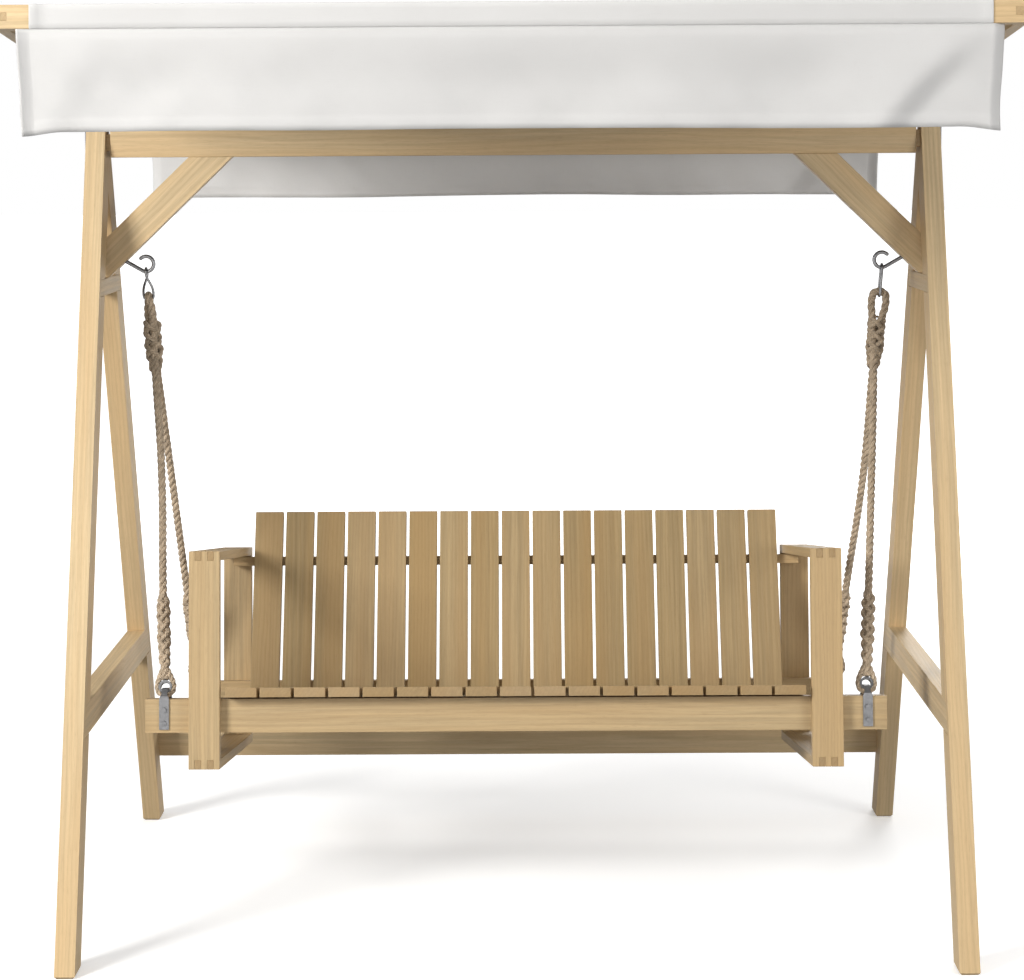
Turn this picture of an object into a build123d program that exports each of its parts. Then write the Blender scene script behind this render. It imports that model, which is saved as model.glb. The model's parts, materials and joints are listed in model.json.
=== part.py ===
from build123d import *
import math
import os

# Canopy swing bench: two A-frames joined by a ridge beam, a slatted bench on ropes
# and a tilted cloth canopy.  Millimetres, +Z up, the front faces -Y.

# ---------------------------------------------------------------- stand
HALF_WIDTH = 1000.0      # outer face of the A-frame legs
TIMBER = 45.0            # thickness of the stand timbers
LEG_DEPTH = 70.0         # depth of the stand timbers
HALF_BASE = 655.0        # ground point of a leg's outer face
LEG_TOP = 1850.0         # level cut at the top of the A-frame
HEAD_HALF = 18.0         # a leg's outer face from the middle at the level cut
LEAN = math.degrees(math.atan((HALF_BASE - HEAD_HALF) / LEG_TOP))
FOOT_CHAMFER = 5.0
LOWER_TIE_TOP = 553.0
LOWER_TIE_H = 70.0
UPPER_TIE_TOP = LEG_TOP - 367.0
UPPER_TIE_H = 40.0
TIE_STOP = 18.0          # wood left in front of a tie's tongue, level
RIDGE_UNDER = LEG_TOP - 86.0
RIDGE_H = 70.0
RIDGE_SHADOW = 10.0      # shoulder of the ridge stays this far off the legs
TENON_W = 24.0
TENON_H = 40.0
TENON_IN = 20.0
BRACE_W = 70.0
BRACE_TOP_X = HALF_WIDTH - 340.0      # inner corner of the knee brace on the ridge
STRETCHER_H = 72.0
STRETCHER_T = 28.0
STRETCHER_MID = 205.0
FIT = 0.15               # room in every lap, tenon and finger

# ---------------------------------------------------------------- hanging gear
HOOK_X = HALF_WIDTH - 130.0
HOOK_Z = LEG_TOP - 337.0
HOOK_WIRE = 9.0
HOOK_R = 18.0            # centre-line radius of the hook ring
HOOK_SHANK = 92.0
LINK_WIRE = 6.0
LINK_LEN = 76.0          # centre line
ROPE_D = 17.0
EYE_D = 12.0             # thinned strand in the lower eye
EYE_HALF = 15.5
LEG_APART = 10.6         # each leg from the rope's middle line where they part
ROPE_JOIN = 215.0        # below the hanging point the two legs part
SPLICE_LEN = 165.0
SPLICE_D = 25.0
THIMBLE_HOLE = 20.6
THIMBLE_WALL = 1.5
THIMBLE_W = 15.0
FRONT_STRAP_X = HALF_WIDTH - 205.0
REAR_STRAP_X = HALF_WIDTH - 201.0
STRAP_W = 22.0
STRAP_WAIST = 13.0
STRAP_T = 3.5
STRAP_LEG = 68.0
ARCH = 20.6              # room under the strap for the eye
HANG_GAP = 0.3           # room between hook, link and rope

# ---------------------------------------------------------------- bench
BENCH_TILT = 8.7
BENCH_Y = -396.0         # lower front corner of the end frames
BENCH_Z = 394.0
FRAME_IN = HALF_WIDTH - 333.0         # inner face of an end frame
BOARD_W = 70.0
BOARD_T = 21.0
FRAME_D = 660.0
FRAME_H = 490.0
FINGERS = 5
BEAM_HALF = HALF_WIDTH - 162.0
REAR_BEAM_HALF = HALF_WIDTH - 186.0
BEAM_T = 45.0
BEAM_LOW = 81.0
SLAT_PITCH = 77.2
SLAT_W = 70.0
SLATS = 2 * int((FRAME_IN - 4 - SLAT_W / 2) / SLAT_PITCH) + 1
SEAT_T = 22.0
SEAT_SLOPE = 4.1         # against the end frame
BEAM_TOP = 159.425 - BEAM_T * math.tan(math.radians(SEAT_SLOPE))
SEAT_FRONT = -14.0
SEAT_FRONT_W = 184.0
SEAT_LEN = 489.0
BACK_LEAN = 16.0         # against the end frame
BACK_T = 20.0
BACK_U = 483.0           # front of the back where it meets the seat top
BACK_UP = 448.5
BACK_LOW_W = 107.0
BEARER_W = 45.0
BEARER_TOP = 106.0
BEARER_X = FRAME_IN - 59.0

# ---------------------------------------------------------------- canopy
CANOPY_TILT = 5.6
PIVOT_Z = LEG_TOP + 114.0
RAIL_HALF = 855.0        # outer faces of the front and rear rails
RAIL_T = 28.0
RAIL_H = 48.0
SIDE_T = 25.0
MIDDLE_U = 32.0          # middle rail stands this far behind the pivot
BRACKET_T = 4.0
BRACKET_W = 40.0
BRACKET_LOW = LEG_TOP - 94.0
SIDE_GAP = 1.0           # bracket to side rail
BOLT_D = 10.0
PIVOT_FIT = 0.1          # side rail on its bolt, all round
CLOTH_T = 1.6
CLOTH_OFF = 0.4
SLEEVE_HALF = HALF_WIDTH - 40.0
VALANCE_TOP_HALF = HALF_WIDTH - 15.0
VALANCE_LOW_HALF = HALF_WIDTH - 22.0
VALANCE_DROP = 204.0

os.makedirs("parts", exist_ok=True)

TAN = math.tan(math.radians(LEAN))
LEG_RUN = LEG_DEPTH / math.cos(math.radians(LEAN))
INNER = HALF_WIDTH - TIMBER
parts = {}


def box(x0, x1, y0, y1, z0, z1):
    centre = ((x0 + x1) / 2, (y0 + y1) / 2, (z0 + z1) / 2)
    return Pos(*centre) * Box(abs(x1 - x0), abs(y1 - y0), abs(z1 - z0))


def yz_prism(points, x0, x1):
    # outline in the YZ plane pulled from x0 to x1
    face = make_face(Polyline(*[(x0, p[0], p[1]) for p in points], close=True))
    return Solid.extrude(face.face(), Vector(x1 - x0, 0, 0))


def xz_prism(points, y0, y1):
    # outline in the XZ plane pulled from y0 to y1
    face = make_face(Polyline(*[(p[0], y0, p[1]) for p in points], close=True))
    return Solid.extrude(face.face(), Vector(0, y1 - y0, 0))


def flip(shape):
    return shape.mirror(Plane.YZ)


def rod(a, b, radius):
    a = Vector(*a)
    b = Vector(*b)
    plane = Plane(origin=a, z_dir=(b - a))
    return Solid.extrude((plane * Circle(radius)).face(), b - a)


def smooth_path(points, radii):
    # straight runs with tangent arcs at the corners
    pts = [Vector(*p) for p in points]
    edges = []
    last = pts[0]
    for i in range(1, len(pts) - 1):
        before = (pts[i] - pts[i - 1]).normalized()
        after = (pts[i + 1] - pts[i]).normalized()
        turn = math.acos(max(-1.0, min(1.0, before.dot(after))))
        cut = radii[i - 1] * math.tan(turn / 2)
        start = pts[i] - before * cut
        end = pts[i] + after * cut
        inward = (after - before).normalized()
        middle = pts[i] + inward * (radii[i - 1] / math.cos(turn / 2) - radii[i - 1])
        edges.append(Edge.make_line(last, start))
        edges.append(Edge.make_three_point_arc(start, middle, end))
        last = end
    edges.append(Edge.make_line(last, pts[-1]))
    return Wire(edges)


def tube(path, radius):
    start = path.position_at(0)
    section = Plane(origin=start, z_dir=path.tangent_at(0)) * Circle(radius)
    return sweep(section.face(), path=path)


def leg_outer(z):
    return HALF_BASE - z * TAN


def leg_inner(z):
    return HALF_BASE - LEG_RUN - z * TAN


# ================================================================ stand
def tongue(top, height, stop, room):
    # outline of the tongue of a tie, blind in both legs
    low = top - height - room
    high = top + room
    reach = stop - room
    return [
        (-leg_outer(low) + reach, low),
        (leg_outer(low) - reach, low),
        (leg_outer(high) - reach, high),
        (-leg_outer(high) + reach, high),
    ]


def tie_cut(top, height, room):
    # blind housing for a half-lapped tie, inner half of the leg
    outline = tongue(top, height, TIE_STOP, room)
    return yz_prism(outline, INNER - 5, INNER + TIMBER / 2 + room)


def make_leg():
    # front right leg
    outline = [
        (-HALF_BASE, 0),
        (-(HALF_BASE - LEG_RUN), 0),
        (0, (HALF_BASE - LEG_RUN) / TAN),
        (0, LEG_TOP),
        (-leg_outer(LEG_TOP), LEG_TOP),
    ]
    leg = yz_prism(outline, INNER, HALF_WIDTH)
    foot = leg.faces().sort_by(Axis.Z)[0].edges()
    leg = chamfer(foot, FOOT_CHAMFER)
    leg -= tie_cut(LOWER_TIE_TOP, LOWER_TIE_H, FIT)
    leg -= tie_cut(UPPER_TIE_TOP, UPPER_TIE_H, FIT)
    mid = RIDGE_UNDER + RIDGE_H / 2
    half_h = TENON_H / 2 + FIT
    half_w = TENON_W / 2 + FIT
    leg -= box(INNER - 5, INNER + TENON_IN + FIT, -half_w, half_w, mid - half_h, mid + half_h)
    return leg


def make_tie(top, height):
    # full thickness between the legs, half thickness over them
    low = top - height
    middle = [
        (-leg_inner(low) + FIT, low),
        (leg_inner(low) - FIT, low),
        (leg_inner(top) - FIT, top),
        (-leg_inner(top) + FIT, top),
    ]
    ends = tongue(top, height, TIE_STOP, 0)
    return yz_prism(middle, INNER, HALF_WIDTH) + yz_prism(ends, INNER, INNER + TIMBER / 2)


def shank_axis():
    # right hook: the shank leaves the ring at a tangent and climbs outward
    rise = math.radians(30)
    foot = (HOOK_X + HOOK_R * math.sin(rise), HOOK_Z - HOOK_R * math.cos(rise))
    tip = (foot[0] + HOOK_SHANK * math.cos(rise), foot[1] + HOOK_SHANK * math.sin(rise))
    return foot, tip


def make_brace():
    drop = RIDGE_UNDER - UPPER_TIE_TOP
    run = INNER - BRACE_TOP_X
    slant = math.atan2(drop, run)
    top_out = BRACE_TOP_X + BRACE_W / math.sin(slant)
    side_z = RIDGE_UNDER - (HALF_WIDTH - top_out) * math.tan(slant)
    outline = [
        (BRACE_TOP_X, RIDGE_UNDER),
        (INNER, UPPER_TIE_TOP),
        (HALF_WIDTH, UPPER_TIE_TOP),
        (HALF_WIDTH, side_z),
        (top_out, RIDGE_UNDER),
    ]
    brace = xz_prism(outline, -TIMBER / 2, TIMBER / 2)
    foot, tip = shank_axis()
    reach = HOOK_SHANK + 1
    end = (foot[0] + reach * math.cos(math.radians(30)), 0, foot[1] + reach * math.sin(math.radians(30)))
    return brace - rod((foot[0], 0, foot[1]), end, HOOK_WIRE / 2 + FIT)


def make_hook():
    foot, tip = shank_axis()
    start_angle = math.radians(-60)
    end_angle = math.radians(-60 - 252)
    mid_angle = (start_angle + end_angle) / 2
    ring = []
    for angle in (start_angle, mid_angle, end_angle):
        ring.append((HOOK_X + HOOK_R * math.cos(angle), 0, HOOK_Z + HOOK_R * math.sin(angle)))
    line = Edge.make_line(Vector(tip[0], 0, tip[1]), Vector(foot[0], 0, foot[1]))
    arc = Edge.make_three_point_arc(Vector(*ring[0]), Vector(*ring[1]), Vector(*ring[2]))
    hook = tube(Wire([line, arc]), HOOK_WIRE / 2)
    return hook + Pos(*ring[2]) * Sphere(HOOK_WIRE / 2)


leg = make_leg()
parts["leg_front_right"] = leg
parts["leg_front_left"] = flip(leg)
parts["leg_rear_right"] = leg.mirror(Plane.XZ)
parts["leg_rear_left"] = flip(leg.mirror(Plane.XZ))

lower_tie = make_tie(LOWER_TIE_TOP, LOWER_TIE_H)
upper_tie = make_tie(UPPER_TIE_TOP, UPPER_TIE_H)
parts["lower_tie_right"] = lower_tie
parts["lower_tie_left"] = flip(lower_tie)
parts["upper_tie_right"] = upper_tie
parts["upper_tie_left"] = flip(upper_tie)

ridge_end = INNER - RIDGE_SHADOW
ridge_mid = RIDGE_UNDER + RIDGE_H / 2
ridge = box(-ridge_end, ridge_end, -TIMBER / 2, TIMBER / 2, RIDGE_UNDER, RIDGE_UNDER + RIDGE_H)
tenon_end = INNER + TENON_IN
ridge += box(
    -tenon_end, tenon_end, -TENON_W / 2, TENON_W / 2, ridge_mid - TENON_H / 2, ridge_mid + TENON_H / 2
)
parts["ridge_beam"] = ridge

brace = make_brace()
parts["knee_brace_right"] = brace
parts["knee_brace_left"] = flip(brace)

# rear stretcher, flat against the rear faces of the rear legs
half_rise = STRETCHER_H / 2
lean_up = Vector(0, -math.sin(math.radians(LEAN)), math.cos(math.radians(LEAN)))
lean_out = Vector(0, math.cos(math.radians(LEAN)), math.sin(math.radians(LEAN)))
on_leg = Vector(0, leg_outer(STRETCHER_MID), STRETCHER_MID)
corners = []
for along, out in ((-1, 0), (1, 0), (1, 1), (-1, 1)):
    corner = on_leg + lean_up * (along * half_rise) + lean_out * (out * STRETCHER_T)
    corners.append((corner.Y, corner.Z))
parts["rear_stretcher"] = yz_prism(corners, -HALF_WIDTH, HALF_WIDTH)

hook = make_hook()
parts["hook_right"] = hook
parts["hook_left"] = flip(hook)

# canopy brackets on the outer faces of the A-frames
bracket_out = HALF_WIDTH + BRACKET_T
bracket = box(HALF_WIDTH, bracket_out, -BRACKET_W / 2, BRACKET_W / 2, BRACKET_LOW, PIVOT_Z)
bracket += Pos(HALF_WIDTH + BRACKET_T / 2, 0, PIVOT_Z) * Rot(0, 90, 0) * Cylinder(BRACKET_W / 2, BRACKET_T)
bracket -= Pos(HALF_WIDTH, 0, PIVOT_Z) * Rot(0, 90, 0) * Cylinder(BOLT_D / 2 + FIT, 40)
SCREW_ZS = (BRACKET_LOW + 18, BRACKET_LOW + 62)
for z in SCREW_ZS:
    bracket -= Pos(HALF_WIDTH, 0, z) * Rot(0, 90, 0) * Cylinder(3.2, 40)
parts["canopy_bracket_right"] = bracket
parts["canopy_bracket_left"] = flip(bracket)


def bolt_pair(x_in, x_out, z, head_t):
    # one pivot bolt: shaft, head outside and nut inside
    shaft = rod((x_in, 0, z), (x_out, 0, z), BOLT_D / 2)
    head = extrude(Plane(origin=(x_out, 0, z), z_dir=(1, 0, 0)) * RegularPolygon(9, 6), head_t)
    nut = extrude(Plane(origin=(x_in, 0, z), z_dir=(-1, 0, 0)) * RegularPolygon(9, 6), head_t)
    return shaft + head + nut


side_in = bracket_out + SIDE_GAP
side_out = side_in + SIDE_T
pivot = bolt_pair(HALF_WIDTH - 0.3, side_out + 1.0, PIVOT_Z, 6.5)
parts["canopy_pivot_bolts"] = Compound(children=[pivot.solid(), flip(pivot).solid()])


def dome_screw(origin, direction, radius, height):
    plane = Plane(origin=origin, z_dir=direction)
    disc = extrude(plane * Circle(radius), height)
    rim = disc.edges().group_by(lambda e: (e.center() - Vector(*origin)).dot(plane.z_dir))[-1]
    return chamfer(rim, height * 0.6)


screws = []
for side in (-1, 1):
    for z in SCREW_ZS:
        screws.append(dome_screw((side * bracket_out, 0, z), (side, 0, 0), 6.0, 2.6))
    for z in (STRETCHER_MID - 18, STRETCHER_MID + 18):
        base = on_leg + lean_out * STRETCHER_T + lean_up * (z - STRETCHER_MID)
        spot = (side * (HALF_WIDTH - TIMBER / 2), base.Y, base.Z)
        screws.append(dome_screw(spot, tuple(lean_out), 5.5, 2.4))
parts["stand_screws"] = Compound(children=[s.solid() for s in screws])


# ================================================================ bench
BENCH = Location((0, BENCH_Y, BENCH_Z), (-BENCH_TILT, 0, 0))
tilt = math.radians(BENCH_TILT)
slope = math.tan(math.radians(SEAT_SLOPE))
back_run = math.tan(math.radians(BACK_LEAN))


def bench_point(x, u, w):
    y = BENCH_Y + u * math.cos(tilt) + w * math.sin(tilt)
    z = BENCH_Z - u * math.sin(tilt) + w * math.cos(tilt)
    return (x, y, z)


def seat_under(u):
    return SEAT_FRONT_W - SEAT_T - (u - SEAT_FRONT) * slope


def finger_cuts(u0, u1, w0, w1, keep_odd):
    # bites taken out of a corner so that two boards interlock
    step = BOARD_W / FINGERS
    cuts = []
    for i in range(FINGERS):
        if (i % 2 == 1) == keep_odd:
            continue
        x0 = FRAME_IN + i * step - FIT
        x1 = FRAME_IN + (i + 1) * step + FIT
        if i == 0:
            x0 -= 5
        if i == FINGERS - 1:
            x1 += 5
        cuts.append(box(x0, x1, u0, u1, w0, w1))
    return cuts


def make_board(u0, u1, w0, w1, corners_of, keep_odd):
    board = box(FRAME_IN, FRAME_IN + BOARD_W, u0, u1, w0, w1)
    for (cu, cw) in corners_of:
        cu0 = cu - (1 if cu == 0 else 0)
        cu1 = cu + BOARD_T + (1 if cu > 0 else 0)
        cw0 = cw - (1 if cw == 0 else 0)
        cw1 = cw + BOARD_T + (1 if cw > 0 else 0)
        for cut in finger_cuts(cu0, cu1, cw0, cw1, keep_odd):
            board -= cut
    return board


far_u = FRAME_D - BOARD_T
top_w = FRAME_H - BOARD_T
front_post = make_board(0, BOARD_T, 0, FRAME_H, ((0, 0), (0, top_w)), False)
rear_post = make_board(far_u, FRAME_D, 0, FRAME_H, ((far_u, 0), (far_u, top_w)), False)
arm = make_board(0, FRAME_D, top_w, FRAME_H, ((0, top_w), (far_u, top_w)), True)
bottom_rail = make_board(0, FRAME_D, 0, BOARD_T, ((0, 0), (far_u, 0)), True)
for name, board in (
    ("front_post", front_post),
    ("rear_post", rear_post),
    ("arm", arm),
    ("bottom_rail", bottom_rail),
):
    parts[name + "_right"] = BENCH * board
    parts[name + "_left"] = flip(BENCH * board)

front_u = BOARD_T
rear_u = far_u - BEAM_T


def strap_holes(beam, u, x):
    for side in (-1, 1):
        for w in (BEAM_TOP - 24, BEAM_TOP - 54):
            beam -= Pos(side * x, u + BEAM_T / 2, w) * Rot(90, 0, 0) * Cylinder(3 + FIT, BEAM_T + 4)
    return beam


front_beam = box(-BEAM_HALF, BEAM_HALF, front_u, front_u + BEAM_T, BEAM_LOW, BEAM_TOP)
rear_beam = box(-REAR_BEAM_HALF, REAR_BEAM_HALF, rear_u, rear_u + BEAM_T, BEAM_LOW, BEAM_TOP)
parts["front_beam"] = BENCH * strap_holes(front_beam, front_u, FRONT_STRAP_X)
parts["rear_beam"] = BENCH * strap_holes(rear_beam, rear_u, REAR_STRAP_X)

bearer = box(
    BEARER_X, BEARER_X + BEARER_W, front_u + BEAM_T, rear_u, BEAM_LOW, BEARER_TOP
)
parts["seat_bearer_right"] = BENCH * bearer
parts["seat_bearer_left"] = flip(BENCH * bearer)

rail_low = BEARER_TOP
rail_back_low = BACK_U - (SEAT_FRONT_W - (BACK_U - SEAT_FRONT) * slope - rail_low) * back_run
rail_top_u = BACK_U - 6.6
rear_rail = yz_prism(
    [
        (430, rail_low),
        (rail_back_low, rail_low),
        (rail_top_u, seat_under(rail_top_u)),
        (430, seat_under(430)),
    ],
    -(BEARER_X + BEARER_W),
    BEARER_X + BEARER_W,
)
parts["seat_rear_rail"] = BENCH * rear_rail

# seat slats
seat_u1 = SEAT_FRONT + SEAT_LEN
seat_outline = [
    (SEAT_FRONT, seat_under(SEAT_FRONT)),
    (seat_u1, seat_under(seat_u1)),
    (seat_u1, seat_under(seat_u1) + SEAT_T),
    (SEAT_FRONT, seat_under(SEAT_FRONT) + SEAT_T),
]
seat_slats = []
back_slats = []
back_base_w = SEAT_FRONT_W - (BACK_U - SEAT_FRONT) * slope
back_cos = math.cos(math.radians(BACK_LEAN))
back_sin = math.sin(math.radians(BACK_LEAN))
low_u = BACK_U - (back_base_w - BACK_LOW_W) * back_run
high_u = BACK_U + BACK_UP * back_sin
high_w = back_base_w + BACK_UP * back_cos
back_outline = [
    (low_u, BACK_LOW_W),
    (low_u + BACK_T / back_cos, BACK_LOW_W),
    (high_u + BACK_T * back_cos, high_w - BACK_T * back_sin),
    (high_u, high_w),
]
for i in range(SLATS):
    x = (i - (SLATS - 1) / 2) * SLAT_PITCH
    seat_slat = yz_prism(seat_outline, x - SLAT_W / 2, x + SLAT_W / 2)
    seat_slat = chamfer(seat_slat.edges().filter_by(Axis.Y, tolerance=5.0).group_by(Axis.Z)[-1], 1.5)
    back_slat = yz_prism(back_outline, x - SLAT_W / 2, x + SLAT_W / 2)
    back_slat = chamfer(back_slat.edges().filter_by(Axis.X).group_by(Axis.Z)[-1], 2.0)
    seat_slats.append(BENCH * seat_slat)
    back_slats.append(BENCH * back_slat)
parts["seat_slats"] = Compound(children=[s.solid() for s in seat_slats])
parts["back_slats"] = Compound(children=[s.solid() for s in back_slats])

# upper back rail between the end frames, behind the slats
rail_w0 = 444.0
rail_w1 = 466.0


def back_rear(w):
    return BACK_U + (w - back_base_w) * back_run + BACK_T / back_cos


upper_rail = yz_prism(
    [
        (back_rear(rail_w0), rail_w0),
        (far_u, rail_w0),
        (far_u, rail_w1),
        (back_rear(rail_w1), rail_w1),
    ],
    -(FRAME_IN + 40),
    FRAME_IN + 40,
)
parts["back_upper_rail"] = BENCH * upper_rail


# ================================================================ hanging gear
def make_strap(u_mid):
    # flat steel over the beam with a raised, waisted arch (centred on x = 0)
    half = BEAM_T / 2
    low = BEAM_TOP - STRAP_LEG
    high = BEAM_TOP + ARCH
    outer = half + STRAP_T
    profile = [
        (u_mid - outer, low),
        (u_mid - outer, BEAM_TOP + 7),
        (u_mid - outer * 0.62, high + STRAP_T * 0.55),
        (u_mid - 7, high + STRAP_T),
        (u_mid + 7, high + STRAP_T),
        (u_mid + outer * 0.62, high + STRAP_T * 0.55),
        (u_mid + outer, BEAM_TOP + 7),
        (u_mid + outer, low),
        (u_mid + half, low),
        (u_mid + half, BEAM_TOP + 6),
        (u_mid + half * 0.55, high - 2.2),
        (u_mid + 7, high),
        (u_mid - 7, high),
        (u_mid - half * 0.55, high - 2.2),
        (u_mid - half, BEAM_TOP + 6),
        (u_mid - half, low),
    ]
    strap = yz_prism(profile, -STRAP_W / 2, STRAP_W / 2)
    w = STRAP_W / 2
    n = STRAP_WAIST / 2
    sight = [
        (-w, low),
        (w, low),
        (w, BEAM_TOP + 1),
        (n, BEAM_TOP + 12),
        (n, high + 10),
        (-n, high + 10),
        (-n, BEAM_TOP + 12),
        (-w, BEAM_TOP + 1),
    ]
    strap = strap & xz_prism(sight, u_mid - 60, u_mid + 60)
    for w_hole in (BEAM_TOP - 24, BEAM_TOP - 54):
        strap -= Pos(0, u_mid, w_hole) * Rot(90, 0, 0) * Cylinder(3 + FIT, BEAM_T + 20)
    return strap


def make_strap_bolt(u_mid, w):
    half = BEAM_T / 2 + STRAP_T
    shaft = rod((0, u_mid - half, w), (0, u_mid + half, w), 3.0)
    front = extrude(Plane(origin=(0, u_mid - half, w), z_dir=(0, -1, 0)) * RegularPolygon(5.8, 6), 4.0)
    back = extrude(Plane(origin=(0, u_mid + half, w), z_dir=(0, 1, 0)) * RegularPolygon(5.8, 6), 4.0)
    return shaft + front + back


def make_thimble():
    # grooved ring, hole along Y
    hole = THIMBLE_HOLE / 2
    half = THIMBLE_W / 2
    ring = Cylinder(hole + THIMBLE_WALL, THIMBLE_W) - Cylinder(hole, THIMBLE_W + 2)
    for side in (-1, 1):
        lip = Cylinder(hole + THIMBLE_WALL + 3.2, 1.2) - Cylinder(hole, 3)
        ring += Pos(0, 0, side * (half - 0.6)) * lip
    return Rot(90, 0, 0) * ring


axis_z = HOOK_Z - HOOK_R
hang_top = axis_z + HOOK_WIRE / 2 + HANG_GAP
hang_x = HOOK_X
strap_aim_x = (FRONT_STRAP_X + REAR_STRAP_X) / 2
lean_in = math.atan2(hang_x - strap_aim_x, hang_top - 553.0)
# frame at the hanging point, its -Z runs down the rope (right side)
HANG = Location((hang_x, 0, hang_top), (0, math.degrees(lean_in), 0))
link_r = ROPE_D / 2 + 0.4 + LINK_WIRE / 2


def hang_point(x, y, z):
    return tuple((HANG * Location((x, y, z))).position)


def make_link():
    # plain oval link in the YZ plane, top centre line one wire radius above the origin
    top = LINK_WIRE / 2
    low = top - LINK_LEN
    a = top - link_r
    b = low + link_r
    edges = [
        Edge.make_line(Vector(0, -link_r, b), Vector(0, -link_r, a)),
        Edge.make_three_point_arc(Vector(0, -link_r, a), Vector(0, 0, top), Vector(0, link_r, a)),
        Edge.make_line(Vector(0, link_r, a), Vector(0, link_r, b)),
        Edge.make_three_point_arc(Vector(0, link_r, b), Vector(0, 0, low), Vector(0, -link_r, b)),
    ]
    return tube(Wire(edges), LINK_WIRE / 2)


def make_twisted_link():
    # the same oval with a quarter twist between its two bows
    top = LINK_WIRE / 2
    low = top - LINK_LEN
    count = 28
    points = []
    straight = LINK_LEN - 2 * link_r
    total = 2 * straight + 2 * math.pi * link_r
    for i in range(count):
        s = total * i / count
        if s < straight:
            x, z = link_r, low + link_r + s
        elif s < straight + math.pi * link_r:
            a = (s - straight) / link_r
            x, z = link_r * math.cos(a), top - link_r + link_r * math.sin(a)
        elif s < 2 * straight + math.pi * link_r:
            x, z = -link_r, top - link_r - (s - straight - math.pi * link_r)
        else:
            a = (s - 2 * straight - math.pi * link_r) / link_r
            x, z = -link_r * math.cos(a), low + link_r - link_r * math.sin(a)
        part = min(1.0, max(0.0, (z - (low + link_r)) / straight))
        turn = math.radians(90) * (3 * part * part - 2 * part * part * part)
        points.append(Vector(x * math.cos(turn), x * math.sin(turn), z))
    half = count // 2
    up = (points[1] - points[-1]).normalized()
    down = (points[half + 1] - points[half - 1]).normalized()
    first = Edge.make_spline(points[: half + 1], tangents=[up, down])
    second = Edge.make_spline(points[half:] + [points[0]], tangents=[down, up])
    return tube(Wire([first]), LINK_WIRE / 2) + tube(Wire([second]), LINK_WIRE / 2)


def eye_geometry(strap_x, u_mid, join, rise):
    # centre of the thimble and the run of the rope up to where the two legs part
    arch = Vector(*bench_point(strap_x, u_mid, BEAM_TOP + ARCH))
    run = (Vector(*join) - arch).normalized()
    run = (Vector(*join) - (arch + run * rise)).normalized()
    centre = arch + run * rise
    neck = centre + run * 44.0
    return centre, run, neck


def make_rope_end(centre, run, neck):
    # lower eye round the thimble with the spliced neck above it
    radius = THIMBLE_HOLE / 2 + THIMBLE_WALL + EYE_D / 2 + 0.1
    side = Vector(1, 0, 0)
    side = (side - run * side.dot(run)).normalized()
    apex = centre + run * 40.0
    ratio = radius / 40.0
    spread = math.acos(ratio)
    t1 = centre + run * (radius * math.cos(spread)) + side * (radius * math.sin(spread))
    t2 = centre + run * (radius * math.cos(spread)) - side * (radius * math.sin(spread))
    base = centre - run * radius
    edges = [
        Edge.make_line(apex, t1),
        Edge.make_three_point_arc(t1, base, t2),
        Edge.make_line(t2, apex),
    ]
    first = tube(Wire(edges[:2]), EYE_D / 2)
    second = tube(Wire([edges[2]]), EYE_D / 2)
    ball = Pos(*tuple(apex)) * Sphere(EYE_D / 2 + 1.5)
    low = Plane(origin=neck - run * 10, z_dir=run)
    high = Plane(origin=neck + run * 30, z_dir=run)
    crown = Plane(origin=neck + run * SPLICE_LEN, z_dir=run)
    cone = loft([(low * Circle(EYE_D / 2 + 2)).face(), (high * Circle(SPLICE_D / 2)).face()])
    taper = loft([(high * Circle(SPLICE_D / 2)).face(), (crown * Circle(ROPE_D / 2 + 0.5)).face()])
    return first + second + ball + cone + taper


def rope_corners(twisted):
    # where the legs part and the two upper corners of the top eye
    top = -(LINK_LEN - LINK_WIRE) + HANG_GAP + ROPE_D / 2
    if twisted:
        eye = ((0, -EYE_HALF, top), (0, EYE_HALF, top))
    else:
        eye = ((-EYE_HALF, 0, top), (EYE_HALF, 0, top))
    spots = ((0, -LEG_APART, -ROPE_JOIN),) + eye + ((0, LEG_APART, -ROPE_JOIN),)
    return [hang_point(*spot) for spot in spots]


def make_rope(front, rear, corners):
    # one rope: up from the front splice, round the link and down to the rear splice
    return tube(smooth_path([front] + corners + [rear], [60, 13.8, 13.8, 60]), ROPE_D / 2)


front_mid = front_u + BEAM_T / 2
rear_mid = rear_u + BEAM_T / 2
bolts = []
for place, u_mid, strap_x in (("front", front_mid, FRONT_STRAP_X), ("rear", rear_mid, REAR_STRAP_X)):
    strap = BENCH * (Pos(strap_x, 0, 0) * make_strap(u_mid))
    parts["hanger_strap_" + place + "_right"] = strap
    parts["hanger_strap_" + place + "_left"] = flip(strap)
    for w in (BEAM_TOP - 24, BEAM_TOP - 54):
        bolt = BENCH * (Pos(strap_x, 0, 0) * make_strap_bolt(u_mid, w))
        bolts.append(bolt)
        bolts.append(flip(bolt))

for side, twisted in (("right", False), ("left", True)):
    corners = rope_corners(twisted)
    lows = []
    for place, u_mid, strap_x, join, rise in (
        ("front", front_mid, FRONT_STRAP_X, corners[0], 5.2),
        ("rear", rear_mid, REAR_STRAP_X, corners[3], 3.6),
    ):
        centre, run, neck = eye_geometry(strap_x, u_mid, join, rise)
        turned = Plane(origin=centre, x_dir=(1, 0, 0), z_dir=run)
        thimble = turned.location * make_thimble()
        end = make_rope_end(centre, run, neck)
        lows.append(tuple(neck + run * SPLICE_LEN))
        if side == "left":
            thimble = flip(thimble)
            end = flip(end)
        parts["thimble_" + place + "_" + side] = thimble
        parts["rope_end_" + place + "_" + side] = end
    rope = make_rope(lows[0], lows[1], corners)
    parts["rope_" + side] = flip(rope) if twisted else rope
parts["strap_bolts"] = Compound(children=[b.solid() for b in bolts])

parts["link_right"] = HANG * make_link()
parts["link_left"] = flip(HANG * make_twisted_link())

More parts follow.
